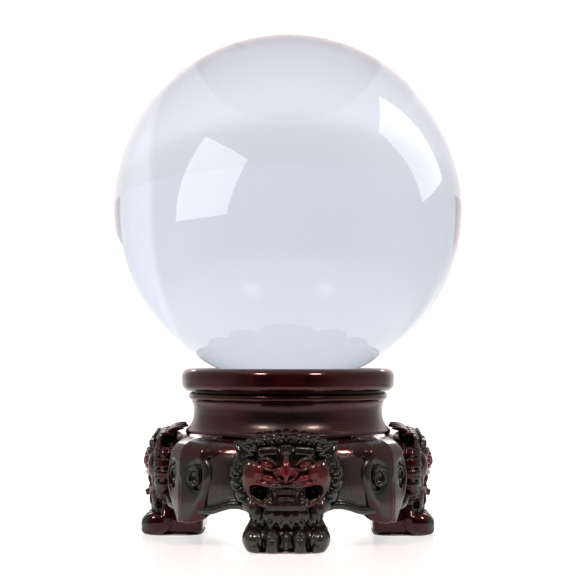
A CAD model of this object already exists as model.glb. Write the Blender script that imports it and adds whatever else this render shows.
"""A crystal ball on a lacquered stand with lion-mask legs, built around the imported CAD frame.

Lengths are metres, except in the sculpting, which works in millimetres at a piece's own place:
x across it, r outward from the stand's axis, and z up from the table.
"""
from math import cos, degrees, pi, radians, sin, sqrt

import bmesh
import bpy
import numpy as np
import openvdb
from mathutils import Matrix, Vector


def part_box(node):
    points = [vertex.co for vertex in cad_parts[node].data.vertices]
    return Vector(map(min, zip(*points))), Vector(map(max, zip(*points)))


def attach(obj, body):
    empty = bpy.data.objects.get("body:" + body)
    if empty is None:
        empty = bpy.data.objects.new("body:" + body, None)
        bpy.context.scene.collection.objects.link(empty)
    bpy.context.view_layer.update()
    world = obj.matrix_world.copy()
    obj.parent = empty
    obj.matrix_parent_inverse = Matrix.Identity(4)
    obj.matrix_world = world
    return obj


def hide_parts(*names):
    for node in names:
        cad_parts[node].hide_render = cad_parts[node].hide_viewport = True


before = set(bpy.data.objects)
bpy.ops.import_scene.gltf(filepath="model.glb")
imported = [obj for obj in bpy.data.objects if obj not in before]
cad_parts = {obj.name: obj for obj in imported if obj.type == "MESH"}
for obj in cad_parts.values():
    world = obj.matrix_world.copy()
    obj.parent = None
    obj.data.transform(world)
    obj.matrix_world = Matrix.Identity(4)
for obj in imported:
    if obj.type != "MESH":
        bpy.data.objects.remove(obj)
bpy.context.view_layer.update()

MM = 0.001
FAR = 9.0  # mm, the distance that untouched clay stands at
FINE_STEP = 0.3  # mm, the sculpting grid of lions and scrolls
BROAD_STEP = 0.5  # mm, the sculpting grid of the apron
QUARTERS = {"front": 0, "right": 90, "back": 180, "left": 270}
CORNERS = {"front_right": 45, "back_right": 135, "back_left": 225, "front_left": 315}

# Sizes taken from the frame.
ball_low, ball_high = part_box("crystal_ball")
ball_centre = (ball_low + ball_high) / 2
ball_radius = (ball_high - ball_low).z / 2
seat_low, seat_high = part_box("seat_ring")
rim_low, rim_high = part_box("rim_dish")
bead_low, bead_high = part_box("bead_ring")
collar_low, collar_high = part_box("waist_collar")
apron_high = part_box("apron_drum")[1]
pad_low, pad_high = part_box("foot_pad_front")


# --- Clay: signed distances on a grid -----------------------------------------------------
def ramp(low, high, v):
    """Runs smoothly from 0 at low to 1 at high, and either may be the larger."""
    t = np.clip((v - low) / (high - low), 0, 1)
    return t * t * (3 - 2 * t)


def smooth_min(a, b, k):
    h = np.maximum(k - np.abs(a - b), 0) / k
    return np.minimum(a, b) - h * h * k / 4


def smooth_max(a, b, k):
    return -smooth_min(-a, -b, k)


class Clay:
    """Clay on a grid of signed distances, below 0 inside, where shapes are joined and cut."""

    def __init__(self, low, high, step):
        self.low = np.array(low, float)
        self.step = step
        shape = np.ceil((np.array(high) - self.low) / step).astype(int) + 1
        self.field = np.full(shape, FAR, np.float32)

    def window(self, low, high):
        """The part of the grid between two corners, and the places of its points."""
        first = np.maximum(((np.array(low) - self.low) / self.step).astype(int), 0)
        last = ((np.array(high) - self.low) / self.step).astype(int) + 2
        last = np.minimum(last, self.field.shape)
        if (last <= first).any():
            return None, None
        axes = [start + self.step * np.arange(a, b, dtype=np.float32)
                for start, a, b in zip(self.low, first, last)]
        part = tuple(slice(a, b) for a, b in zip(first, last))
        return part, np.meshgrid(*axes, indexing="ij", sparse=True)

    def add(self, shape, blend=0.6, side=1):
        """Joins a shape to the clay with a soft seam or, where side is -1, to the air."""
        low, high, distance = shape
        pad = blend + 3 * self.step
        part, points = self.window(np.array(low) - pad, np.array(high) + pad)
        if part is not None:
            near = distance(*points).astype(np.float32)
            self.field[part] = side * smooth_min(side * self.field[part], near, blend)

    def cut(self, shape, blend=0.4):
        self.add(shape, blend, side=-1)

    def rope(self, controls, radii, blend, links=8):
        """Adds a tapered strand along the Bezier curve that the points control."""
        self.add(strand(bend(controls, links), radii), blend)

    def carve(self, controls, radii, blend, links=8):
        """Cuts such a strand away."""
        self.cut(strand(bend(controls, links), radii), blend)

    def mirrored(self):
        """The whole field of clay that was sculpted on the side where x is positive."""
        whole = Clay.__new__(Clay)
        whole.low = self.low * (-1, 1, 1)
        whole.low[0] = -(self.low[0] + self.step * (self.field.shape[0] - 1))
        whole.step = self.step
        whole.field = np.concatenate([self.field[:0:-1], self.field])
        return whole

    def mesh(self, name, tall=1.0):
        """The clay's surface, in metres, with its relief as an attribute of each point."""
        field = np.ascontiguousarray(np.clip(self.field, -FAR, FAR))
        for face in (field, field.transpose(1, 0, 2), field.transpose(2, 0, 1)):
            face[0] = face[-1] = FAR  # so that the clay closes where the grid ends
        grid = openvdb.FloatGrid(FAR)
        grid.copyFromArray(field)
        points, _, quads = grid.convertToPolygons(0.0, 0.0)
        relief = self.relief(points)
        mesh = bpy.data.meshes.new(name)
        mesh.vertices.add(len(points))
        place = points * self.step + self.low
        mesh.vertices.foreach_set("co", (place * (1, -1, tall) * MM).astype(np.float32).ravel())
        mesh.loops.add(4 * len(quads))
        mesh.loops.foreach_set("vertex_index", quads[:, ::-1].astype(np.int32).ravel())
        mesh.polygons.add(len(quads))
        mesh.polygons.foreach_set("loop_start", np.arange(0, 4 * len(quads), 4, dtype=np.int32))
        mesh.update(calc_edges=True)
        mesh.validate()
        attribute = mesh.attributes.new("relief", "FLOAT", "POINT")
        attribute.data.foreach_set("value", relief.astype(np.float32))
        return mesh

    def relief(self, points):
        """The field blurred over about 1.5 mm: above 0 on crests and below 0 in creases."""
        blurred = np.clip(self.field, -2.0, 2.0)
        reach = max(1, round(0.75 / self.step))
        for axis in range(3):
            shifted = [np.roll(blurred, k, axis) for k in range(-reach, reach + 1)]
            blurred = sum(shifted) / len(shifted)
        near = np.clip(np.round(points).astype(int), 0, np.array(self.field.shape) - 1)
        return blurred[near[:, 0], near[:, 1], near[:, 2]]


# --- Shapes for the clay: (low corner, high corner, distance) ------------------------------
def turn_matrix(about_x=0, about_r=0, about_z=0):
    turn = Matrix.Rotation(radians(about_x), 3, "X") @ Matrix.Rotation(radians(about_r), 3, "Y")
    return np.array(turn @ Matrix.Rotation(radians(about_z), 3, "Z"), float)


def blob(centre, radii, **turns):
    """An ellipsoid."""
    c, s = np.array(centre, float), np.array(radii, float)
    m = turn_matrix(**turns).T

    def distance(x, r, z):
        p = [m[k, 0] * (x - c[0]) + m[k, 1] * (r - c[1]) + m[k, 2] * (z - c[2]) for k in range(3)]
        near = np.sqrt(sum((p[k] / s[k]) ** 2 for k in range(3)))
        slope = np.sqrt(sum((p[k] / s[k] ** 2) ** 2 for k in range(3)))
        return near * (near - 1) / np.maximum(slope, 1e-6)

    return c - s.max(), c + s.max(), distance


def block(centre, half, edge=0.5, **turns):
    """A box with rounded edges."""
    c, s = np.array(centre, float), np.array(half, float) - edge
    m = turn_matrix(**turns).T

    def distance(x, r, z):
        p = [m[k, 0] * (x - c[0]) + m[k, 1] * (r - c[1]) + m[k, 2] * (z - c[2]) for k in range(3)]
        q = [abs(p[k]) - s[k] for k in range(3)]
        outside = np.sqrt(sum(np.maximum(v, 0) ** 2 for v in q))
        return outside + np.minimum(np.maximum(np.maximum(q[0], q[1]), q[2]), 0) - edge

    reach = sqrt(sum((s + edge) ** 2))
    return c - reach, c + reach, distance


def strand(points, radii):
    """A rope of tapered links through the points."""
    path = np.array(points, float)
    thick = evenly(radii, np.linspace(0, 1, len(path)))

    def distance(x, r, z):
        best = None
        for a, b, ra, rb in zip(path[:-1], path[1:], thick[:-1], thick[1:]):
            run = b - a
            offset = [x - a[0], r - a[1], z - a[2]]
            along = sum(offset[k] * run[k] for k in range(3)) / max(run @ run, 1e-9)
            along = np.clip(along, 0, 1)
            gap = np.sqrt(sum((offset[k] - along * run[k]) ** 2 for k in range(3)))
            near = gap - (ra + (rb - ra) * along)
            best = near if best is None else np.minimum(best, near)
        return best

    return path.min(0) - thick.max(), path.max(0) + thick.max(), distance


def bend(points, links=8):
    """Points along the Bezier curve that the given points control."""
    points = np.array(points, float)
    out = []
    for t in np.linspace(0, 1, links + 1):
        row = points
        while len(row) > 1:
            row = row[:-1] * (1 - t) + row[1:] * t
        out.append(row[0])
    return np.array(out)


def evenly(values, t):
    """The value at each t from 0 to 1 where the given ones are spread evenly over that range."""
    values = np.atleast_1d(values)
    return np.interp(t, np.linspace(0, 1, len(values)), values)


def arc(centre, radius, start, end, r_start, r_end, links=12):
    """Points on an arc in the x-z plane, from one angle in degrees to another, sliding in r."""
    t = np.linspace(0, 1, links + 1)
    angle = np.radians(start + (end - start) * t)
    size = evenly(radius, t)
    out = np.linspace(r_start, r_end, links + 1)
    return np.stack([centre[0] + size * np.cos(angle), out, centre[1] + size * np.sin(angle)], 1)


# --- Lion ---------------------------------------------------------------------------------
LION_TALL = 0.977  # the sculpt's heights are drawn a little taller than the leg
SOLE_Z = pad_high.z / MM


def lock(clay, controls, width, strands=3, blend=0.25, spacing=0.75, side=(1, 0, 0)):
    """A lock of hair: a few tapered strands side by side along one curve."""
    path = bend(controls)
    side = np.array(side, float)
    fan = np.linspace(1.0, 0.35, len(path))[:, None]  # the strands draw together at the tip
    radius = width / strands * 0.85
    for k in range(strands):
        offset = (k - (strands - 1) / 2) * spacing * width / strands * 1.4
        reach = 1 - 0.12 * abs(offset) / width
        line = path[0] + (path - path[0]) * reach + side * offset * fan
        clay.add(strand(line, (radius * 0.8, radius * 1.15, radius, radius * 0.25)), blend)


def sculpt_paw(clay):
    clay.add(block((0, 46.5, 4.6), (13.6, 11.0, 4.4), 2.6), 1.0)
    clay.add(block((0, 44.5, 7.0), (11.6, 7.5, 4.6), 3.0), 2.5)
    # Outer toe: a heavy lobe that leans outward over a narrower sole.
    clay.add(blob((12.6, 54.6, 4.9), (4.2, 6.6, 5.1), about_r=14), 0.7)
    clay.add(blob((12.2, 56.6, 2.6), (3.2, 4.6, 2.9)), 0.6)
    # Inner toe, its claw under an arched cuticle, and the small knuckle in the middle.
    clay.add(blob((5.3, 56.4, 5.0), (3.3, 5.3, 4.6)), 0.5)
    clay.rope([(5.3, 57.4, 6.6), (5.3, 59.6, 5.4), (5.4, 59.4, 2.2)], (2.4, 2.5, 2.6), 0.4)
    for size, out in ((2.9, 60.6), (1.9, 61.5)):
        clay.cut(strand(arc((5.3, 4.4), size, -6, 186, out, out), (0.3, 0.5, 0.3)), 0.25)
    clay.rope([(5.3, 59.8, 5.6), (5.3, 60.9, 4.4), (5.3, 60.6, 1.9)], (1.0, 1.15, 1.0), 0.25)
    clay.rope([(0, 57.0, 8.0), (0, 60.3, 7.4), (0, 60.0, 2.4)], (1.0, 1.2, 0.8), 0.5)
    # The crease between outer and inner toes.
    clay.carve([(8.9, 54.0, 10.6), (9.1, 59.6, 7.4), (9.4, 61.4, 1.2)], (0.5, 0.75, 0.6), 0.5)
    clay.carve([(2.3, 57.0, 9.6), (2.1, 60.4, 7.0), (2.1, 61.4, 1.0)], (0.4, 0.6, 0.45), 0.4)
    for x in (3.3, 4.6, 6.0, 7.3):
        clay.carve([(x, 61.6, 3.6), (x, 61.9, 2.6), (x, 61.6, 1.2)], (0.12, 0.2, 0.2), 0.2)
    clay.rope([(10.4, 59.4, 7.6), (10.0, 61.0, 6.2), (9.6, 60.9, 3.4)], (0.9, 0.9, 0.3), 0.3)


def sculpt_leg(clay):
    clay.add(block((0, 48.6, 14.0), (11.4, 6.6, 8.0), 3.0), 1.5)
    clay.add(blob((0, 47.5, 19.5), (17.0, 7.5, 7.0)), 2.0)
    clay.rope([(12.5, 50.5, 19.0), (10.6, 51.0, 13.0), (13.6, 51.0, 7.5)], (3.6, 1.9, 2.6), 1.6)


def sculpt_skull(clay):
    clay.add(blob((0, 48.5, 29.0), (18.8, 7.0, 14.6)), 1.0)
    clay.add(blob((0, 49.0, 29.4), (16.0, 9.0, 11.4)), 1.0)
    clay.add(blob((0, 51.5, 36.0), (11.5, 5.2, 6.2), about_x=-18), 1.5)
    # The smooth band between the face and the mane.
    clay.rope([(14.2, 54.6, 37.2), (18.0, 54.4, 33.0), (17.6, 54.6, 24.0), (9.4, 55.2, 17.2)],
              (0.9, 1.1, 0.9), 0.8)


def sculpt_cheek(clay):
    clay.add(blob((12.3, 54.8, 29.6), (4.6, 3.4, 6.9), about_z=24, about_r=10), 0.5)
    clay.add(blob((10.6, 55.8, 31.2), (3.0, 2.8, 4.2), about_r=24), 0.8)
    clay.rope([(15.8, 54.9, 29.0), (15.6, 55.2, 23.4), (11.6, 56.2, 19.8), (7.6, 57.8, 18.2)],
              (1.5, 1.25, 1.0, 1.1), 0.7)
    # The sharp fold beside the nose.
    clay.carve([(9.2, 58.4, 35.4), (8.3, 59.0, 32.2), (7.4, 59.6, 29.4)], (0.5, 0.8, 0.6), 0.4)


def sculpt_mouth(clay):
    clay.cut(blob((10.2, 57.0, 23.0), (3.1, 6.4, 3.4), about_r=-14), 0.5)
    clay.cut(blob((12.0, 56.6, 24.6), (2.0, 4.6, 1.5), about_r=-30), 0.4)
    clay.add(block((0, 55.4, 21.6), (7.2, 3.6, 4.2), 1.2), 0.6)
    clay.cut(block((0, 59.8, 22.9), (6.9, 2.4, 2.7), 0.8), 0.3)
    # Chin shelf.
    clay.add(block((0, 57.4, 18.2), (7.3, 2.9, 1.35), 0.7, about_x=-12), 0.5)
    clay.carve([(0, 60.4, 19.7), (4.0, 60.2, 19.7), (7.2, 58.6, 20.0)], (0.35, 0.4, 0.3), 0.3)
    # Teeth: three to a side above and below, with a fang outside each row.
    for k in range(3):
        clay.add(block((0.62 + 1.18 * k, 58.0 - 0.1 * k, 24.4), (0.56, 1.0, 0.95), 0.35), 0.12)
        clay.add(block((0.58 + 1.1 * k, 58.0 - 0.1 * k, 21.0), (0.52, 1.0, 0.8), 0.35), 0.12)
    clay.rope([(4.3, 58.2, 25.4), (4.4, 59.2, 23.8), (4.0, 58.9, 21.9)], (0.95, 0.8, 0.25), 0.15)
    clay.rope([(5.9, 57.4, 19.9), (6.1, 58.4, 21.4), (5.8, 58.0, 23.4)], (1.0, 0.8, 0.3), 0.15)
    # The lips: up over the teeth and round the corner of the mouth.
    upper = bend([(0, 59.7, 26.5), (4.0, 60.2, 25.6), (7.6, 59.0, 25.0),
                  (10.2, 57.4, 28.8), (14.6, 55.6, 28.0), (14.6, 54.8, 23.6)], 14)
    clay.add(strand(upper, (0.85, 0.9, 0.95, 0.8, 0.6)), 0.3)
    clay.cut(strand(upper + (0, 0.75, 0.95), (0.15, 0.25, 0.25, 0.2, 0.1)), 0.25)
    clay.rope([(14.4, 54.9, 24.0), (13.2, 55.6, 20.6), (9.0, 57.0, 18.8), (7.2, 58.4, 20.4)],
              (0.6, 0.7, 0.6), 0.3)


def sculpt_nose(clay):
    clay.add(blob((4.4, 57.4, 28.0), (4.6, 2.6, 1.9), about_r=-6), 0.5)
    clay.add(blob((6.5, 58.7, 29.0), (2.7, 1.8, 1.45), about_r=-14), 0.3)
    clay.rope([(0, 56.6, 37.0), (0, 59.0, 35.4), (0, 59.8, 33.2)], (1.6, 1.6, 1.8), 0.7)
    clay.add(blob((0, 59.3, 34.4), (1.7, 1.3, 1.3)), 0.4)
    # A broad flat nose, heart-shaped from in front, with slanting nostrils.
    clay.add(blob((0, 59.2, 31.2), (3.2, 2.4, 1.9)), 0.5)
    clay.add(blob((3.2, 59.2, 31.3), (1.9, 1.7, 1.5), about_r=20), 0.4)
    clay.rope([(0, 60.6, 31.8), (0, 61.2, 30.2), (0, 60.2, 28.2)], (1.3, 1.25, 0.8), 0.4)
    clay.cut(blob((2.6, 61.0, 30.5), (1.35, 1.0, 0.7), about_r=-30), 0.2)
    clay.rope([(0.3, 61.0, 33.0), (4.8, 60.6, 33.2), (5.6, 59.6, 31.0), (3.2, 60.4, 28.8),
               (0.4, 61.0, 27.6)], (0.35, 0.45, 0.4, 0.35), 0.25, 12)
    clay.carve([(0, 60.4, 28.0), (0, 60.6, 27.4), (0, 60.4, 26.2)], (0.3, 0.35, 0.3), 0.3)
    clay.carve([(3.0, 60.6, 28.6), (5.2, 60.0, 29.8), (5.6, 59.2, 32.2)], (0.3, 0.4, 0.35), 0.3)
    # Whisker creases across the muzzle.
    for k in range(3):
        z = 27.4 - 0.6 * k
        clay.carve([(1.6, 60.3, z), (5.2, 60.2, z + 0.2), (9.2, 58.2, z + 1.1)],
                   (0.12, 0.22, 0.12), 0.2)


def sculpt_eye(clay):
    clay.cut(blob((6.9, 58.8, 34.3), (3.6, 2.6, 2.1), about_r=-14), 0.8)
    clay.add(blob((6.7, 57.4, 34.3), (2.8, 2.3, 1.65), about_r=-14), 0.2)
    clay.cut(blob((5.4, 60.0, 34.0), (0.8, 0.9, 0.85)), 0.2)
    clay.rope([(3.2, 58.6, 32.9), (4.2, 60.6, 36.2), (8.6, 59.6, 37.9), (10.6, 56.0, 35.6)],
              (0.45, 0.6, 0.65, 0.45), 0.25)
    clay.rope([(3.4, 58.4, 32.8), (5.8, 59.6, 31.3), (8.8, 58.4, 32.2), (10.4, 56.0, 34.8)],
              (0.45, 0.65, 0.55, 0.35), 0.3)
    clay.carve([(4.0, 59.4, 31.6), (6.6, 59.4, 30.8), (9.4, 57.6, 32.0)], (0.2, 0.35, 0.2), 0.3)


def sculpt_brow(clay):
    # A boxy brow that droops to its inner end, combed into short hairs there.
    clay.add(block((7.0, 56.0, 39.1), (3.7, 2.5, 1.75), 1.0, about_r=6), 0.4)
    clay.add(blob((7.4, 57.2, 40.1), (3.2, 1.3, 0.9), about_r=4), 0.3)
    for k in range(6):
        x = 3.9 + 0.95 * k
        clay.carve([(x + 0.5, 57.8, 41.2), (x + 0.1, 59.4, 39.2), (x - 0.4, 58.8, 37.4)],
                   (0.15, 0.26, 0.2), 0.2)
    clay.carve([(3.2, 57.4, 41.8), (7.0, 57.8, 42.0), (11.2, 56.0, 41.2)], (0.5, 0.6, 0.5), 0.4)
    # The boss on the forehead.
    clay.add(block((0, 56.0, 39.7), (2.2, 2.6, 2.1), 0.9), 0.3)
    clay.carve([(0, 59.8, 37.2), (1.4, 59.4, 37.2), (2.8, 58.4, 37.6)], (0.4, 0.45, 0.4), 0.3)
    clay.add(blob((0, 58.0, 39.6), (1.2, 1.1, 1.8)), 0.2)
    clay.carve([(2.75, 58.0, 41.6), (2.7, 59.0, 39.4), (2.8, 58.4, 36.8)], (0.3, 0.4, 0.3), 0.2)


def sculpt_ear(clay):
    tip = np.array((19.7, 52.0, 42.6))
    clay.add(blob((15.4, 52.6, 38.9), (5.4, 1.5, 3.0), about_r=-44), 0.6)
    for root, width in (((11.8, 54.0, 40.6), 1.1), ((16.8, 53.6, 35.2), 1.0)):
        knee = (root[0] * 0.4 + tip[0] * 0.6, 54.6, root[2] * 0.4 + tip[2] * 0.6)
        clay.rope([root, knee, tip], (width, 1.0, 0.4), 0.5)
    clay.cut(blob((15.2, 55.4, 38.7), (3.9, 1.7, 1.5), about_r=-44), 0.35)
    # Two tufts in the ear.
    clay.rope([(11.2, 55.4, 39.4), (13.0, 57.2, 40.6), (14.6, 55.6, 38.9)], (0.9, 1.0, 0.4), 0.25)
    clay.rope([(12.2, 55.2, 37.6), (13.6, 56.8, 38.6), (15.4, 55.4, 37.0)], (0.7, 0.8, 0.35), 0.25)


def sculpt_mane(clay):
    """Cupped curls down the side, each wrapping from the front round to the back of the mane."""
    curls = 7
    for k in range(curls):
        t = k / (curls - 1)
        angle = radians(26 - 100 * t)
        x = (20.0 - 1.0 * t) * cos(angle)
        z = 28.8 + (15.2 + 1.8 * t) * sin(angle)
        out = np.array((cos(angle), 0, sin(angle)))
        down = np.array((sin(angle), 0, -cos(angle)))
        back = np.array((0, -1, 0))
        front = np.array((x, 52.2 - 0.4 * t, z)) - 2.4 * out
        curl = [front, front - 2.8 * back + 0.8 * out, front - 1.6 * back + 3.4 * out + 0.9 * down,
                front + 3.0 * back + 4.6 * out + 0.5 * down,
                front + 6.0 * back + 2.8 * out - 0.8 * down]
        lock(clay, curl, 4.4, 2, 0.3, 0.85, side=down)
        # The curl's hollow heart with a bead in it, and the parting below the curl.
        heart = front + 1.6 * out + 0.3 * down
        turn = degrees(angle)
        groove = arc((heart[0], heart[2]), (2.0, 1.1), turn - 190, turn + 60, 54.4, 55.6, 10)
        clay.cut(strand(groove, (0.25, 0.5, 0.35)), 0.35)
        clay.add(blob((heart[0], 54.4, heart[2]), (1.0, 1.2, 1.0)), 0.4)
        parting = [front - 0.6 * out - 2.2 * back, front + 1.5 * out + 2.1 * down - 2.4 * back,
                   front + 4.4 * out + 2.5 * down - 0.2 * back]
        clay.cut(strand(parting, (0.35, 0.55, 0.5)), 0.5)


def sculpt_crest(clay):
    """Locks between the ears that sweep up and back over the shoulder."""
    rows = 4
    for k in range(rows):
        x, z = 1.9 + 3.7 * k, -0.5 * k
        lock(clay, [(x, 52.0, z + 41.4), (x + 0.2, 56.4, z + 42.8), (x + 0.9, 52.4, z + 46.2),
                    (x + 1.6, 48.6, z + 44.6)], 3.4, 3, 0.2, 0.8)
    for k in range(rows):
        x, z = 3.6 * k, -0.35 * k
        lock(clay, [(x, 49.6, z + 42.8), (x, 51.0, z + 46.2), (x * 0.97, 47.0, z + 46.6),
                    (x * 0.92, 43.9, 2 * z + 47.4)], 3.6, 3, 0.2, 0.8)
    for k in range(rows):
        curl = arc((1.6 + 3.4 * k, 43.4 - 0.5 * k), (1.4, 0.6), 200, -90, 55.2, 56.0, 8)
        clay.add(strand(curl, (0.45, 0.7, 0.55)), 0.2)


def sculpt_beard(clay):
    for k in range(3):
        x, z = 3.3 * k, 0.5 * k
        lock(clay, [(x * 0.9, 55.6, z + 17.4), (x, 58.4, z + 15.4), (x * 1.06, 57.6, z + 12.0),
                    (x * 1.2, 56.4, z + 10.0)], 3.6, 3, 0.26, 0.8)
    for x in (1.7, 5.2):
        lock(clay, [(x, 55.4, 14.6), (x * 1.05, 57.4, 12.8), (x * 1.12, 56.6, 10.6),
                    (x * 1.2, 57.4, 9.2)], 2.4, 2, 0.2, 0.8)
    # Hair that runs down from the jaw on to the leg.
    for k in range(3):
        x, z = 9.0 + 1.7 * k, 15.6 + 2.1 * k
        lock(clay, [(x, 53.0, z + 0.8), (x + 0.8, 56.2, z - 1.4), (x - 0.4, 55.4, z - 4.4),
                    (x + 1.2, 55.2, z - 6.4)], 3.4, 2, 0.26, 0.8)
    clay.add(blob((11.6, 53.4, 10.6), (1.6, 1.8, 1.3)), 0.5)


LION_STEPS = (sculpt_leg, sculpt_paw, sculpt_skull, sculpt_cheek, sculpt_mouth, sculpt_nose,
              sculpt_eye, sculpt_brow, sculpt_ear, sculpt_mane, sculpt_crest, sculpt_beard)


def sculpt_lion():
    """One lion leg, sculpted on one side and mirrored. The steps run in the order of the cuts."""
    clay = Clay((0, 33.0, -1.0), (25.0, 64.0, 50.5), FINE_STEP)
    for step in LION_STEPS:
        step(clay)
    below = 5.0  # mm, how thick a slab is cut away under the sole
    clay.cut(block((0, 48, SOLE_Z / LION_TALL - below), (60, 60, below), 0.1), 0.3)
    return clay.mirrored().mesh("lion", LION_TALL)


# --- Apron and scrolls --------------------------------------------------------------------
APRON_HALF = 50.4  # mm, from the axis to the middle of a side
APRON_SQUARENESS = 3.0
SHOULDER_FROM = 32.0  # mm, where the side starts to round over
SHOULDER_TOP = 41.6
CAVITY_RADIUS = 41.5
DECK_UNDERSIDE = 35.6
HOLE_RADIUS = 38.6


def arch_edge(across):
    """Height of the apron's lower edge: a cupid's bow between each lion and corner."""
    near_corner = ramp(20.5, 31.0, across)
    near_lion = 1 - ramp(9.0, 19.0, across)
    return 15.7 - 2.6 * near_corner - 3.5 * near_lion


def above_edge(x, r, z):
    return z - arch_edge(np.minimum(np.abs(x), np.abs(r)))


def apron_plan(x, r):
    """How far a point is outside the apron's rounded square, in plan."""
    p = APRON_SQUARENESS
    return (np.abs(x) ** p + np.abs(r) ** p) ** (1 / p) - APRON_HALF


def apron_body(x, r, z):
    """The apron's block, with its swelling sides, arched edge and rounded shoulder."""
    lean = np.clip((z - SHOULDER_FROM) / (SHOULDER_TOP - SHOULDER_FROM), 0, 1.2)
    inset = 7.6 * (1 - np.sqrt(np.clip(1 - lean ** 2, 0, 1)))
    belly = 0.9 * np.sin(np.clip((z - 14) / 22, 0, 1) * pi)
    side = apron_plan(x, r) + inset + 0.9 - belly
    below = -above_edge(x, r, z)
    above = z - SHOULDER_TOP
    return np.maximum(np.maximum(side, below), above)


def apron_lip(x, r, z):
    """The rounded lip along the arched edge."""
    return np.sqrt((apron_plan(x, r) + 0.5) ** 2 + ((above_edge(x, r, z) - 1.5) * 0.9) ** 2) - 1.5


def apron_groove(x, r, z):
    """The groove that sets the lip off."""
    return np.sqrt((apron_plan(x, r) - 0.1) ** 2 + (above_edge(x, r, z) - 3.6) ** 2) - 0.75


def apron_hollow(x, r, z):
    """The cavity below the deck, and the round hole through it."""
    radius = np.sqrt(x * x + r * r)
    cavity = np.maximum(radius - CAVITY_RADIUS, z - DECK_UNDERSIDE)
    return np.minimum(cavity, radius - HOLE_RADIUS)


def sculpt_apron():
    """The whole apron, which is one ring."""
    reach = 58.0
    low, high = (-reach, -reach, 8.0), (reach, reach, 44.0)
    clay = Clay(low, high, BROAD_STEP)
    clay.add((low, high, apron_body), 0.5)
    clay.add((low, high, apron_lip), 1.0)
    clay.cut((low, high, apron_groove), 0.6)
    clay.cut((low, high, apron_hollow), 0.5)
    return clay.mesh("apron")


RIDGE_OUT = 59.6  # mm, from the axis to the corner's ridge
FLANK_SLOPE = radians(17.2)
DISH_AT = (6.6, 27.4)  # mm, the middle of the scroll's dish: along the flank, and height
SCROLL_SOLE_Z = 9.1
SCROLL_BACK = 46.0  # mm, from the axis to the bracket's back, inside the apron
CROWN_FROM = 33.0
CROWN_TOP = 41.5


def on_flank(along, z, lift=0.0):
    """A point on the scroll's flank, so far along it from the ridge."""
    x = along * cos(FLANK_SLOPE) + lift * sin(FLANK_SLOPE)
    return (x, RIDGE_OUT - along * sin(FLANK_SLOPE) + lift * cos(FLANK_SLOPE), z)


def flank_arc(middle, radii, start, end, lift=0.0, links=24):
    """Points on the flank along an ellipse, from one angle in degrees to another."""
    t = np.linspace(0, 1, links + 1)
    angles = np.radians(start + (end - start) * t)
    return [on_flank(middle[0] + radii[0] * cos(a), middle[1] + radii[1] * sin(a), rise)
            for a, rise in zip(angles, evenly(lift, t))]


def flank_curve(controls, links=14):
    """Points on the flank along a Bezier curve, whose controls are (along, z, lift)."""
    return bend([on_flank(*control) for control in controls], links)


def taper_2d(u, v, a, b, ra, rb):
    """Distance in a plane to a round-ended taper between two circles."""
    run = np.array(b, float) - a
    t = np.clip(((u - a[0]) * run[0] + (v - a[1]) * run[1]) / (run @ run), 0, 1)
    gap = np.sqrt((u - a[0] - t * run[0]) ** 2 + (v - a[1] - t * run[1]) ** 2)
    return gap - (ra + (rb - ra) * t)


def facet_side(along, z):
    """How far a point is past the slanting edge of the small flat at the scroll's foot."""
    return 0.82 * (along - 8.0) - 0.573 * (z - 17.0)


def scroll_body(x, r, z):
    """The bracket's block: a ridge between two flanks that run up into the apron's shoulder."""
    swell = 0.3 * np.exp(-((z - 17.0) / 5.0) ** 2)
    lean = np.clip((z - CROWN_FROM) / (CROWN_TOP + 0.3 - CROWN_FROM), 0, 1)
    inset = 8.6 * (1 - np.sqrt(1 - lean ** 2))
    flank = x * sin(FLANK_SLOPE) + (r - RIDGE_OUT - swell) * cos(FLANK_SLOPE) + inset
    along = x / cos(FLANK_SLOPE)
    # The side of the scroll leans outward towards the apron, so its outline grows with depth.
    draft = 0.22 * np.clip(-flank, 0, 9) * ramp(15, 23, z)
    outline = taper_2d(along, z, (6.3, 28.0), (4.5, 12.5), 6.5, 5.0)
    outline = smooth_min(outline, taper_2d(along, z, (6.0, 29.6), (0.0, 38.0), 6.3, 9.5), 2.0)
    body = smooth_max(flank, outline - draft, 1.5)
    facet = 0.5 * facet_side(along, z) + 0.866 * flank
    under = -0.5 * (r - RIDGE_OUT + 3.0) - 0.866 * (z - SCROLL_SOLE_Z)
    body = smooth_max(body, facet, 0.7)
    body = smooth_max(body, SCROLL_SOLE_Z - z, 1.0)
    body = smooth_max(body, under, 1.0)
    body = np.maximum(body, z - CROWN_TOP)
    # Above the dish it fairs into the apron's shoulder, which stands just proud of this skin.
    apron = apron_body((r + x) / sqrt(2), (r - x) / sqrt(2), z) + 0.2
    apron = np.maximum(apron, np.maximum(x - 17.6, SCROLL_SOLE_Z + 6 - z))
    body = smooth_min(body, apron, 0.3 + 6.0 * ramp(32.5, 37.5, z))
    return np.maximum(body, SCROLL_BACK - r)


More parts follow.
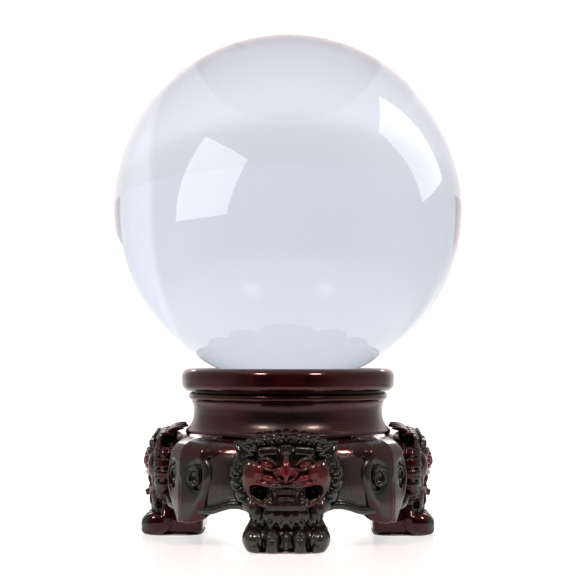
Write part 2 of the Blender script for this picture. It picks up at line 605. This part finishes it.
def sculpt_scroll():
    """One corner bracket, sculpted on one flank and mirrored across its ridge."""
    low, high = (0.0, SCROLL_BACK - 0.5, 7.0), (18.5, 64.0, 44.0)
    clay = Clay(low, high, FINE_STEP)
    clay.add((low, high, scroll_body), 0.2)
    facing = -degrees(FLANK_SLOPE)
    across, up = DISH_AT
    # The egg-shaped dish, shallow by the ridge and steep under the rolled rim.
    dish = on_flank(across + 0.6, up + 0.7, 1.5)
    clay.cut(blob(dish, (5.8, 2.6, 7.4), about_z=facing - 8), 0.6)
    rim = flank_curve([(8.0, 35.0, -0.9), (11.8, 33.4, -0.5), (12.5, 26.0, 0.0),
                       (11.0, 21.0, -0.1), (7.2, 16.6, -0.5)])
    clay.add(strand(rim, (0.3, 0.7, 0.85, 0.7, 0.2)), 0.8)
    cove = flank_curve([(9.8, 36.4, -3.0), (14.6, 34.0, -3.2), (16.2, 27.0, -3.4),
                        (14.8, 21.0, -3.2), (12.4, 16.4, -3.0)])
    clay.cut(strand(cove, (0.4, 1.3, 1.4, 1.2, 0.5)), 0.5)
    # The disc in it, hollowed like a cup, with a dark crescent round its far side.
    clay.add(blob(on_flank(across - 0.9, up, -1.5), (3.5, 1.8, 4.1), about_z=facing), 0.6)
    crescent = flank_arc((across, up), (3.9, 4.6), 96, -82, (-0.5, -1.4, -1.5))
    clay.cut(strand(crescent, (0.3, 1.0, 1.35)), 0.2)
    ring = flank_arc((across - 0.8, up + 0.1), (2.9, 3.4), -75, 150, (-0.9, 0.2, 0.0, -0.5))
    clay.add(strand(ring, (0.3, 0.5, 0.5, 0.3)), 0.4)
    cup = on_flank(across - 0.1, up - 0.2, 0.2)
    clay.cut(blob(cup, (2.1, 2.1, 2.8), about_z=facing), 0.4)
    return clay.mirrored().mesh("scroll")


# --- Turned and flat pieces ---------------------------------------------------------------
WELL_RADIUS = 33.5  # mm, the bore through the waist and the hollow under the dish


def round_through(a, middle, b, links):
    """Points on the circle through three points, after a and up to b."""
    (ax, ay), (bx, by), (cx, cy) = a, middle, b
    a2, b2, c2 = ax ** 2 + ay ** 2, bx ** 2 + by ** 2, cx ** 2 + cy ** 2
    d = 2 * (ax * (by - cy) + bx * (cy - ay) + cx * (ay - by))
    ux = (a2 * (by - cy) + b2 * (cy - ay) + c2 * (ay - by)) / d
    uy = (a2 * (cx - bx) + b2 * (ax - cx) + c2 * (bx - ax)) / d
    angles = np.unwrap([np.arctan2(y - uy, x - ux) for x, y in (a, middle, b)])
    radius = np.hypot(ax - ux, ay - uy)
    turns = np.linspace(angles[0], angles[2], links + 1)[1:]
    return [(ux + radius * cos(t), uy + radius * sin(t)) for t in turns]


def rounded(start, *arcs):
    """A line of arcs from a start: each has its middle point, its end and its number of links."""
    points = [start]
    for middle, end, links in arcs:
        points += round_through(points[-1], middle, end, links)
    return points


def finished_mesh(name, bm):
    bmesh.ops.recalc_face_normals(bm, faces=bm.faces)
    mesh = bpy.data.meshes.new(name)
    bm.to_mesh(mesh)
    bm.free()
    return mesh


def turned(name, outline, waver=0.0, segments=240):
    """A closed outline of (radius, height) in mm, turned about the stand's axis."""
    bm = bmesh.new()
    rings = []
    for radius, height in outline:
        if radius < 1e-6:
            rings.append([bm.verts.new((0, 0, height * MM))] * segments)
            continue
        ring = []
        for k in range(segments):
            angle = 2 * pi * k / segments
            size = radius + waver * sin(3 * angle + height) * sin(2 * angle)
            ring.append(bm.verts.new((size * cos(angle) * MM, size * sin(angle) * MM, height * MM)))
        rings.append(ring)
    for lower, upper in zip(rings, rings[1:] + rings[:1]):
        for k in range(segments):
            corners = [lower[k], lower[(k + 1) % segments], upper[(k + 1) % segments], upper[k]]
            face = list(dict.fromkeys(corners))
            if len(face) > 2:
                bm.faces.new(face)
    return finished_mesh(name, bm)


def rim_outline():
    radius, top, base = rim_high.x / MM, rim_high.z / MM, bead_high.z / MM
    seat_z = seat_low.z / MM
    land = seat_high.x / MM + 0.15
    spigot, under = radius - 8.8, rim_low.z / MM
    bowl = ball_radius / MM + 1.0
    centre_z = ball_centre.z / MM
    edge = sqrt(bowl ** 2 - (centre_z - seat_z) ** 2)
    steps = [edge * k / 8 for k in range(9)]
    points = [(step, centre_z - sqrt(bowl ** 2 - step ** 2)) for step in steps]
    points += [(land, seat_z), (land, seat_z + 1.0)]
    points += rounded(
        (radius - 8.3, seat_z + 1.6),
        ((radius - 7.1, seat_z + 2.3), (radius - 6.3, top - 0.9), 5),
        ((radius - 5.1, top - 0.22), (radius - 3.5, top), 8),
        ((radius - 1.0, top - 1.0), (radius, top - 3.4), 12),
        ((radius - 0.06, top - 5.0), (radius - 0.2, base + 3.4), 6),
        ((radius - 0.8, base + 1.2), (radius - 2.3, base), 10))
    return points + [(spigot, base), (spigot, base - 5.5), (WELL_RADIUS, base - 5.5),
                     (WELL_RADIUS, under), (0, under)]


def bead_outline():
    radius, top, base = bead_high.x / MM, bead_high.z / MM, bead_low.z / MM
    groove, inner = radius - 1.6, radius - 5.7
    points = rounded((groove, base + 0.45),
                     ((radius, (top + base) / 2), (groove, top - 0.45), 18))
    return points + [(groove, top), (inner, top), (inner, base), (groove, base)]


def collar_outline():
    lip, top, base = collar_high.x / MM, collar_high.z / MM, apron_high.z / MM
    waist, waist_z, low = lip - 3.5, top - 4.3, collar_low.z / MM
    outside = rounded(
        (lip - 2.6, top),
        ((waist + 0.25, waist_z + 2.3), (waist, waist_z), 8),
        ((lip - 2.8, waist_z - 4.3), (lip - 0.4, base + 2.1), 14),
        ((lip, base + 1.1), (lip - 0.6, base), 8))
    return outside + [(38.9, base), (38.9, low), (WELL_RADIUS, low), (WELL_RADIUS, top)]


def seat_outline():
    inner, outer = 22.5, seat_high.x / MM
    low, high = seat_low.z / MM, seat_high.z / MM
    points = [(inner + 0.3, low), (outer - 0.2, low), (outer, low + 0.3)]
    points += rounded((outer, high - 0.8), ((outer - 0.23, high - 0.23), (outer - 0.8, high), 5))
    return points + [(outer - 3.0, high), (inner + 2.2, high - 0.02), (inner + 1.0, high - 0.25),
                     (inner, high - 0.7), (inner, low + 0.3)]


def felt_pad(name):
    """A felt pad: a rounded oblong with soft edges and an uneven, fibrous surface."""
    centre, half = (pad_low + pad_high) / 2, (pad_high - pad_low) / 2
    rng = np.random.default_rng(7)
    around, steps = 160, 22
    fuzz_size = 0.035 * MM
    flat = [k / steps * 0.97 for k in range(1, steps + 1)]
    # How far out each ring of points lies, and how far up, both as a share of the half size.
    levels = [(size, 1.0) for size in flat]
    levels += [(0.985, 0.85), (1.0, 0.4), (1.0, -0.4), (0.985, -0.85)]
    levels += [(size, -1.0) for size in reversed(flat)]
    bm = bmesh.new()
    top = bm.verts.new((centre.x, centre.y, pad_high.z))
    rings = []
    for size, level in levels:
        ring = []
        for k in range(around):
            c, s = cos(2 * pi * k / around), sin(2 * pi * k / around)
            reach = (abs(c) ** 5 + abs(s) ** 5) ** (-1 / 5) * size
            fuzz = rng.normal(0, fuzz_size, 3)
            z = centre.z + level * half.z + fuzz[2] * 0.6
            ring.append(bm.verts.new((centre.x + c * reach * half.x + fuzz[0],
                                      centre.y + s * reach * half.y + fuzz[1],
                                      min(max(z, pad_low.z), pad_high.z))))
        rings.append(ring)
    base = bm.verts.new((centre.x, centre.y, pad_low.z))
    for k in range(around):
        n = (k + 1) % around
        bm.faces.new((top, rings[0][k], rings[0][n]))
        bm.faces.new((base, rings[-1][n], rings[-1][k]))
        for upper, lower in zip(rings, rings[1:]):
            bm.faces.new((upper[k], lower[k], lower[n], upper[n]))
    return finished_mesh(name, bm)


# --- Paint masks --------------------------------------------------------------------------
# Soft round spots on the lion's face, in the plane seen from in front: how strong each is, its
# middle (x, z) and its reach across and up, in mm.
GLOW_SPOTS = ((1.0, (0, 31.0), (5.2, 2.9)), (0.8, (6.6, 29.0), (3.0, 1.5)),
              (0.55, (6.9, 34.2), (2.5, 1.6)), (0.5, (9.0, 26.8), (3.6, 1.0)),
              (0.6, (0, 35.0), (1.6, 1.8)), (0.32, (11.0, 30.0), (3.4, 4.6)))
CHEEK_SPOTS = ((1.0, (12.4, 28.6), (3.6, 5.2)), (0.5, (12.0, 19.5), (3.4, 2.2)))
BLUSH_SPOTS = ((1.0, (13.2, 28.0), (3.6, 5.6)), (0.5, (12.5, 18.8), (3.0, 2.0)),
               (0.4, (9.8, 33.2), (2.6, 1.6)))
HOLLOW_SPOTS = ((1.0, (10.6, 23.2), (3.6, 3.6)), (1.0, (0, 22.6), (8.0, 2.6)))


def read_points(mesh):
    """Each point's place in mm as x, r and z, and how squarely it faces outward."""
    count = len(mesh.vertices)
    place, normal = np.empty(3 * count, np.float32), np.empty(3 * count, np.float32)
    mesh.vertices.foreach_get("co", place)
    mesh.vertex_normals.foreach_get("vector", normal)
    x, y, z = place.reshape(-1, 3).T / MM
    return x, -y, z, -normal[1::3]


def paint(mesh, **masks):
    """Writes masks from 0 to 1 on the mesh's points. A mask that isn't there reads as 0."""
    for name, values in masks.items():
        attribute = mesh.attributes.new(name, "FLOAT", "POINT")
        attribute.data.foreach_set("value", np.clip(values, 0, 1).astype(np.float32))


def spots(x, z, places):
    return sum(strength * np.exp(-(((x - a) / reach[0]) ** 2 + ((z - b) / reach[1]) ** 2))
               for strength, (a, b), reach in places)


def paint_lion(mesh):
    """Sprayed blackish green from in front, with the nose, muzzle, eyes and lips left red."""
    x, r, z, outward = read_points(mesh)
    x, z = np.abs(x), z / LION_TALL
    front = ramp(54.5, 57.0, r)
    glow = front * spots(x, z, GLOW_SPOTS)
    bare = np.clip(glow + 0.8 * front * spots(x, z, CHEEK_SPOTS), 0, 1)
    face = ramp(17.5, 14.0, np.hypot(x, (z - 28.0) * 0.95)) * ramp(51.0, 54.0, r)
    spray = ramp(0.10, 0.62, outward) * ramp(44.0, 54.0, r)
    toes = ramp(9.5, 6.0, z) * ramp(55.0, 59.0, r) * ramp(0.2, 0.8, outward)
    hollow = ramp(58.6, 56.0, r) * ramp(44.0, 48.0, r) * spots(x, z, HOLLOW_SPOTS)
    paint(mesh, glow=glow, blush=front * spots(x, z, BLUSH_SPOTS), dust=0.55 * toes,
          patina=spray * (0.92 - 0.3 * face) * (1 - bare), shade=hollow)


def paint_scroll(mesh):
    """Sprayed in the dish and on the side wall, and worn paler on the crown and the rolled rim."""
    x, r, z = read_points(mesh)[:3]
    along = np.abs(x) / cos(FLANK_SLOPE)
    dish = np.hypot((along - DISH_AT[0]) / 5.4, (z - DISH_AT[1]) / 7.0)
    # Where the rolled rim lies along the flank at each height.
    lip = np.interp(z, (15.0, 17.0, 21.0, 26.0, 30.0, 33.0, 35.5),
                    (6.5, 7.6, 10.6, 11.9, 12.0, 11.0, 8.4))
    wall = ramp(0.3, 1.1, along - lip)
    wall *= ramp(36.5, 34.5, z) * ramp(14.5, 17.0, z)
    edge = np.exp(-((along - lip + 0.3) / 0.7) ** 2)
    edge *= ramp(35.5, 34.0, z) * ramp(16.0, 18.0, z)
    facet = ramp(-0.3, 1.2, facet_side(along, z)) * ramp(20.0, 17.0, z)
    patina = 0.4 + 0.6 * ramp(1.25, 0.75, dish)
    patina += 0.35 * ramp(24.0, 18.0, z) * ramp(1.0, 4.0, along)
    patina = np.maximum(patina, 0.9 * wall) * (1 - 0.9 * facet) * ramp(9.5, 12.5, z)
    dust = 0.35 * ramp(39.0, 33.0, z) * ramp(0.8, 1.3, dish) + 0.6 * edge
    paint(mesh, patina=patina, dust=dust * (1 - facet) * (1 - wall),
          shade=0.45 * facet + 0.85 * wall)


def paint_apron(mesh):
    """Sprayed along the lower edge and towards each lion, and dusty half-way up."""
    x, r, z = read_points(mesh)[:3]
    rise = above_edge(x, r, z)
    patina = 0.45 + 0.6 * ramp(7.5, 3.0, rise)
    patina += 0.35 * ramp(27.0, 20.0, np.minimum(np.abs(x), np.abs(r)))
    patina *= 1 - 0.7 * ramp(34.0, 38.0, z)
    dust = 0.6 * ramp(38.0, 32.0, z) * ramp(4.0, 9.0, rise)
    outside = ramp(-4, -1, apron_plan(x, r))
    paint(mesh, patina=patina * outside, dust=dust * outside)


def paint_ring(mesh, amount, low, high):
    """Spray that drifted onto a ring above each lion, strongest towards its lower edge."""
    x, r, z = read_points(mesh)[:3]
    lateral = np.minimum(np.abs(x), np.abs(r))
    drift = amount * ramp(34.0, 4.0, lateral) * ramp(high, low, z)
    paint(mesh, patina=0.45 * drift, shade=0.75 * drift)


# --- Materials ----------------------------------------------------------------------------
class Nodes:
    """A small helper that adds nodes to the node tree of a material or a world."""

    def __init__(self, owner, surface):
        owner.use_nodes = True
        self.nodes = owner.node_tree.nodes
        self.links = owner.node_tree.links
        self.surface = self.nodes[surface]

    def add(self, kind, inputs=None, **settings):
        node = self.nodes.new("ShaderNode" + kind)
        for key, value in settings.items():
            setattr(node, key, value)
        for key, value in (inputs or {}).items():
            self.join(node.inputs[key], value)
        return node

    def join(self, socket, value):
        if isinstance(value, bpy.types.NodeSocket):
            self.links.new(value, socket)
        else:
            socket.default_value = value

    def set(self, **values):
        for key, value in values.items():
            self.join(self.surface.inputs[key.replace("_", " ")], value)

    def place(self):
        return self.add("TexCoord").outputs["Object"]

    def noise(self, scale, detail=3.0, rough=0.55, where=None, distortion=0.0):
        inputs = {"Vector": where or self.place(), "Scale": scale, "Detail": detail,
                  "Roughness": rough, "Distortion": distortion}
        return self.add("TexNoise", inputs).outputs["Fac"]

    def mask(self, name):
        return self.add("Attribute", attribute_name=name).outputs["Fac"]

    def math(self, kind, a, b=0.0, clamp=False):
        return self.add("Math", {0: a, 1: b}, operation=kind, use_clamp=clamp).outputs[0]

    def plus(self, a, b):
        return self.math("ADD", a, b)

    def minus(self, a, b):
        return self.math("SUBTRACT", a, b)

    def times(self, a, b):
        return self.math("MULTIPLY", a, b)

    def most(self, a, b, clamp=False):
        return self.math("MAXIMUM", a, b, clamp)

    def span(self, value, low, high, to_low=0.0, to_high=1.0):
        """A smooth ramp from to_low, where the value is low, to to_high, where it is high."""
        inputs = {"Value": value, "From Min": low, "From Max": high,
                  "To Min": to_low, "To Max": to_high}
        return self.add("MapRange", inputs, interpolation_type="SMOOTHSTEP").outputs["Result"]

    def mix(self, amount, a, b):
        node = self.add("Mix", data_type="RGBA")
        for socket, value in ((0, amount), (6, a), (7, b)):  # the sockets of a colour mix
            self.join(node.inputs[socket], value)
        return node.outputs[2]

    def bump(self, height, strength, distance, under=None):
        node = self.add("Bump", {"Height": height, "Strength": strength, "Distance": distance})
        if under is not None:
            self.links.new(under, node.inputs["Normal"])
        return node.outputs["Normal"]


class Shader(Nodes):
    def __init__(self, name):
        self.material = bpy.data.materials.new(name)
        super().__init__(self.material, "Principled BSDF")


LACQUER = ((0.0125, 0.0017, 0.0017, 1), (0.026, 0.0030, 0.0030, 1))
SPRAY = ((0.0048, 0.0060, 0.0046, 1), (0.0105, 0.0120, 0.0092, 1))  # blackish green
SETTLED = (0.060, 0.060, 0.050, 1)  # the grey that lies in the creases of the spray
BLUSH = (0.068, 0.024, 0.023, 1)  # the lion's cheeks
DUST = (0.046, 0.037, 0.030, 1)  # toes, rims and crowns worn paler
GLOW = (0.110, 0.0045, 0.0085, 1)  # the red left bare on the face
GRIME = (0.0025, 0.0016, 0.0014, 1)
LACQUER_SHEEN, SPRAY_SHEEN = (1.0, 0.50, 0.46, 1), (0.94, 1.0, 0.88, 1)


def lacquer(name):
    """Dark red-brown lacquer, sprayed over with blackish green where the patina mask says."""
    s = Shader(name)
    cloud, fine = s.noise(90.0, 4.0), s.noise(900.0, 3.0)
    upright = s.add("Mapping", {"Vector": s.place(), "Scale": (1, 1, 0.3)}).outputs[0]
    grain = s.noise(160.0, 5.0, where=upright)
    relief = s.mask("relief")
    corners = s.add("AmbientOcclusion", {"Distance": 0.007}, samples=8).outputs["AO"]
    # Dark where little light reaches, and along the sharpest crests.
    grime = s.minus(1.0, s.span(corners, 0.30, 0.92))
    grime = s.most(grime, s.times(s.span(relief, 0.09, 0.32), 0.9))
    grime = s.most(grime, s.mask("shade"), clamp=True)
    spray = s.span(s.plus(s.mask("patina"), s.span(cloud, 0.3, 0.7, -0.10, 0.10)), 0.10, 0.85)
    green = s.mix(s.span(fine, 0.3, 0.7), *SPRAY)
    green = s.mix(s.times(s.span(relief, -0.12, -0.34), 0.75), green, SETTLED)
    colour = s.mix(spray, s.mix(s.span(grain, 0.3, 0.75), *LACQUER), green)
    for mask, coat in (("blush", BLUSH), ("dust", DUST), ("glow", GLOW)):
        colour = s.mix(s.mask(mask), colour, coat)
    colour = s.mix(s.times(grime, 0.88), colour, GRIME)
    rough = s.plus(s.span(fine, 0.25, 0.75, 0.08, 0.14), s.times(spray, 0.03))
    rough = s.plus(rough, s.times(grime, 0.25))
    peel = s.bump(s.noise(420.0, 2.0), 0.05, 0.00025)
    wear = s.bump(fine, 0.04, 0.00010, peel)
    s.set(Base_Color=colour, Roughness=rough, Normal=wear, IOR=1.50,
          Specular_Tint=s.mix(spray, LACQUER_SHEEN, SPRAY_SHEEN),
          Coat_Weight=0.15, Coat_Roughness=0.05, Coat_Normal=peel)
    return s.material


def crystal(name):
    """Clear crystal with the faint blue of thick glass and the least trace of handling."""
    s = Shader(name)
    smear = s.span(s.noise(14.0, 5.0, 0.6, distortion=0.8), 0.56, 0.86, 0.0, 0.012)
    s.set(Base_Color=(0.655, 0.705, 0.795, 1), Roughness=smear, IOR=1.52, Transmission_Weight=1.0)
    return s.material


def flock(name):
    s = Shader(name)
    fibre = s.noise(2600.0, 2.0, 0.7)
    colour = s.mix(s.span(fibre, 0.3, 0.75), (0.004, 0.004, 0.005, 1), (0.022, 0.022, 0.025, 1))
    s.set(Base_Color=colour, Roughness=0.95, Normal=s.bump(fibre, 0.8, 0.0003),
          Sheen_Weight=0.35, Sheen_Roughness=0.6)
    return s.material


def felt(name):
    s = Shader(name)
    fibre, clump = s.noise(1500.0, 4.0, 0.7, distortion=1.5), s.noise(260.0, 3.0)
    colour = s.mix(s.span(fibre, 0.3, 0.7), (0.30, 0.25, 0.22, 1), (0.62, 0.55, 0.50, 1))
    colour = s.mix(s.span(clump, 0.35, 0.7, 0.0, 0.4), colour, (0.25, 0.20, 0.18, 1))
    s.set(Base_Color=colour, Roughness=0.97, Normal=s.bump(fibre, 0.7, 0.0003),
          Sheen_Weight=0.4, Sheen_Roughness=0.5)
    return s.material


# --- Pieces -------------------------------------------------------------------------------
def add_object(name, data):
    thing = bpy.data.objects.new(name, data)
    bpy.context.scene.collection.objects.link(thing)
    return thing


def piece(name, mesh, material, body, node, turn=0, sharp=None):
    """One visible piece of the object, turned about its axis, that stands for a node of the CAD."""
    mesh.materials.append(material)
    mesh.polygons.foreach_set("use_smooth", [True] * len(mesh.polygons))
    if sharp is not None:
        mesh.set_sharp_from_angle(angle=radians(sharp))
    thing = add_object(name, mesh)
    if turn:
        mesh.transform(Matrix.Rotation(radians(turn), 4, "Z"))
    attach(thing, body)
    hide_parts(node)
    return thing


def make_ball():
    bm = bmesh.new()
    bmesh.ops.create_icosphere(bm, subdivisions=6, radius=ball_radius)
    for vert in bm.verts:
        vert.co = vert.co.normalized() * ball_radius + ball_centre
    mesh = bpy.data.meshes.new("polished_ball")
    bm.to_mesh(mesh)
    bm.free()
    return piece("polished_ball", mesh, crystal("blue_white_crystal"), "ball",
                 "crystal_ball")


# Name, outline, unevenness in mm, the node it replaces, and how much spray drifted on to it
# between which heights in mm.
MOULDINGS = (("rim_moulding", rim_outline(), 0.03, "rim_dish", 0.35, 58.0, 66.0),
             ("bead_moulding", bead_outline(), 0.05, "bead_ring", 0.55, 54.0, 62.0),
             ("waist_moulding", collar_outline(), 0.04, "waist_collar", 1.1, 47.0, 60.0))


def make_rings(finish):
    for name, outline, waver, node, amount, low, high in MOULDINGS:
        ring = turned(name, outline, waver)
        paint_ring(ring, amount, low, high)
        piece(name, ring, finish, "stand", node, sharp=50)
    piece("flocked_seat", turned("flocked_seat", seat_outline(), 0.02), flock("black_flock"),
          "seat_ring", "seat_ring", sharp=60)


def make_castings(finish):
    apron, lion, scroll = sculpt_apron(), sculpt_lion(), sculpt_scroll()
    paint_apron(apron)
    paint_lion(lion)
    paint_scroll(scroll)
    piece("apron_casting", apron, finish, "stand", "apron_drum")
    pad, pad_finish = felt_pad("felt_pad"), felt("pad_felt")
    for side, turn in QUARTERS.items():
        piece(f"lion_{side}", lion.copy(), finish, "stand",
              f"lion_leg_{side}", turn)
        piece(f"felt_{side}", pad.copy(), pad_finish, "stand",
              f"foot_pad_{side}", turn, sharp=60)
    for corner, turn in CORNERS.items():
        piece(f"scroll_{corner}", scroll.copy(), finish, "stand",
              f"scroll_bracket_{corner}", turn)


lacquer_finish = lacquer("rosewood_lacquer")
polished_ball = make_ball()
make_rings(lacquer_finish)
make_castings(lacquer_finish)


# --- Camera, floor and light --------------------------------------------------------------
VIEW_DISTANCE = 0.500  # m, from the stand's axis
VIEW_AZIMUTH = radians(0.7)
VIEW_TILT = radians(3.57)  # upward
VIEW_HEIGHT = rim_high.z + 0.0035
LENS = 72.2  # mm on a 36 mm sensor
WARM_ROOM = (1.0, 0.87, 0.84, 1)
BAND = (0.53, 0.60)  # how far aside the bright screen starts that shows down the ball's left
NEAR_FLOOR = (0.14, 0.28)  # m, from where to where the tabletop turns into the floor beyond
BLACK, WHITE = (0, 0, 0, 1), (1, 1, 1, 1)

# Softboxes that show in the ball alone: middle, width and height in metres in the viewer's
# frame, which is right, up and towards the viewer, and radiance.
SOFTBOXES = {
    "left_softbox": ((-0.676, 0.159, 0.508), (0.322, -0.165, 0.469), (0.273, 0.774, 0.115), 4.2),
    "right_softbox": ((0.786, 0.415, -0.152), (0.151, -0.149, 0.435), (0.234, -0.575, -0.361), 3.0)}
# Lamps on the stand alone: degrees round from the viewer and up, width and height in metres,
# radiance and colour.
LAMPS = {"left_key": (-38, 52, 0.13, 0.13, 60.0, WARM_ROOM[:3]),
         "right_key": (38, 52, 0.13, 0.13, 60.0, WARM_ROOM[:3]),
         "left_back": (-158, 30, 0.28, 0.24, 6.0, WHITE[:3]),
         "right_back": (158, 30, 0.28, 0.24, 6.0, WHITE[:3])}
LAMP_DISTANCE = 0.9


def make_camera():
    camera = add_object("camera", bpy.data.cameras.new("camera"))
    camera.data.lens = LENS
    camera.data.clip_start = 0.01
    camera.location = (VIEW_DISTANCE * sin(VIEW_AZIMUTH), -VIEW_DISTANCE * cos(VIEW_AZIMUTH),
                       VIEW_HEIGHT)
    camera.rotation_euler = (pi / 2 + VIEW_TILT, 0, VIEW_AZIMUTH)
    bpy.context.scene.camera = camera


def room_light(tree, towards_back):
    """How bright the room is in a direction, for everything but the camera and the ball: black
    behind the viewer, soft white at the sides, and a bright screen at the back."""
    sides = tree.span(towards_back, -0.97, -0.25, 0.012, 0.5)
    return tree.plus(sides, tree.span(towards_back, 0.62, 0.97, 0.0, 0.7))


def floor_finish():
    """A pale tabletop with a soft sheen. The camera, and the ball, see it evenly lit."""
    s = Shader("pale_floor")
    split = s.add("SeparateXYZ", {0: s.place()}).outputs
    x, y = split["X"], split["Y"]
    reach = s.math("SQRT", s.plus(s.times(x, x), s.times(y, y)))
    far = s.span(reach, *NEAR_FLOOR)
    near = s.minus(1.0, far)
    path = s.add("LightPath").outputs
    camera, ball = path["Is Camera Ray"], path["Is Transmission Ray"]
    even = s.most(camera, ball)
    level = s.plus(s.times(far, room_light(s, s.math("DIVIDE", y, reach))), near)
    level = s.plus(even, s.times(s.minus(1.0, even), level))
    # Haze hides where the floor ends. The ball sees the same bands in it as in the room.
    slant = s.math("SQRT", s.plus(s.times(reach, reach), ball_centre.z ** 2))
    band = s.span(s.math("DIVIDE", x, slant), *BAND, 0.0, 0.22)
    haze = s.times(camera, s.span(reach, 0.3, 1.4, 0.0, 0.35))
    haze = s.plus(haze, s.times(ball, s.plus(band, s.span(reach, 0.25, 1.0, -0.06, 0.126))))
    s.set(Base_Color=s.mix(s.math("MINIMUM", level, 1.0), BLACK, (0.50, 0.49, 0.485, 1)),
          Roughness=0.16, Specular_IOR_Level=s.times(near, 0.5),
          Emission_Color=WHITE, Emission_Strength=s.plus(s.times(level, 0.66), haze))
    return s.material


def make_floor():
    half, front = 6.0, 1.2
    bm = bmesh.new()
    bmesh.ops.create_grid(bm, x_segments=8, y_segments=8, size=half)
    bmesh.ops.translate(bm, verts=bm.verts, vec=(0, half - front, 0))
    mesh = bpy.data.meshes.new("floor")
    bm.to_mesh(mesh)
    bm.free()
    mesh.materials.append(floor_finish())
    add_object("floor", mesh)


def panel(name, middle, across, up, radiance, things, colour=WHITE[:3]):
    """A rectangular light on some of the things, placed in the viewer's frame."""
    viewer = Matrix.Rotation(VIEW_AZIMUTH, 3, "Z") @ Matrix.Rotation(pi / 2 + VIEW_TILT, 3, "X")
    middle, across, up = Vector(middle), Vector(across), Vector(up)
    light = bpy.data.lights.new(name, "AREA")
    light.shape = "RECTANGLE"
    light.size, light.size_y = across.length, up.length
    light.energy = radiance * pi * light.size * light.size_y
    light.color = colour
    lamp = add_object(name, light)
    x = viewer @ across.normalized()
    z = viewer @ across.cross(up).normalized()
    turn = Matrix((x, z.cross(x), z)).transposed().to_4x4()
    lamp.matrix_world = Matrix.Translation(viewer @ middle) @ turn
    lit = bpy.data.collections.new(name + "_lights")
    for thing in things:
        lit.objects.link(thing)
    lamp.light_linking.receiver_collection = lit


def make_lights():
    rest = [thing for thing in bpy.data.objects
            if thing.type == "MESH" and thing != polished_ball]
    ball_up = Matrix.Rotation(-VIEW_TILT, 3, "X") @ Vector((0, ball_centre.z, 0))
    for name, (middle, across, up, radiance) in SOFTBOXES.items():
        facing = (Vector(middle).normalized() + Vector((0, 0, 1))).normalized() * ball_radius
        panel(name, ball_up + facing + Vector(middle), across, up, radiance, [polished_ball])
    for name, (azimuth, elevation, width, height, radiance, colour) in LAMPS.items():
        a, e = radians(azimuth), radians(elevation)
        out = Vector((sin(a) * cos(e), sin(e), cos(a) * cos(e)))
        across = Vector((cos(a), 0, -sin(a)))
        panel(name, out * LAMP_DISTANCE, across * width, out.cross(across) * height, radiance,
              rest, colour)


def make_world():
    """The room, and what shows through the ball: even white, a little brighter towards the right
    and the top, with a dim strip far aside that darkens the ball's left and right edges."""
    world = bpy.data.worlds.new("studio")
    bpy.context.scene.world = world
    w = Nodes(world, "Background")
    split = w.add("SeparateXYZ", {0: w.add("TexCoord").outputs["Generated"]}).outputs
    x, y, z = split["X"], split["Y"], split["Z"]
    bright = w.plus(w.span(x, -0.9, 0.6, 0.985, 1.035), w.span(x, *BAND, 0.0, 0.24))
    bright = w.plus(bright, w.span(z, 0.25, 0.6, 0.0, 0.05))
    aside = w.span(w.math("ABSOLUTE", x), 0.87, 0.90)
    strip = w.times(aside, w.times(w.span(z, -0.12, 0.0), w.span(z, 0.2, 0.34, 0.6, 0.0)))
    through = w.times(bright, w.minus(1.0, strip))
    path = w.add("LightPath").outputs
    camera, ball = path["Is Camera Ray"], path["Is Transmission Ray"]
    seen = w.plus(w.times(ball, through), w.times(camera, 1.1))
    unseen = w.minus(1.0, w.most(ball, camera))
    w.set(Strength=w.plus(seen, w.times(unseen, room_light(w, y))),
          Color=w.mix(unseen, WHITE, WARM_ROOM))


make_camera()
make_floor()
make_lights()
make_world()
bpy.context.scene.view_settings.view_transform = "Standard"
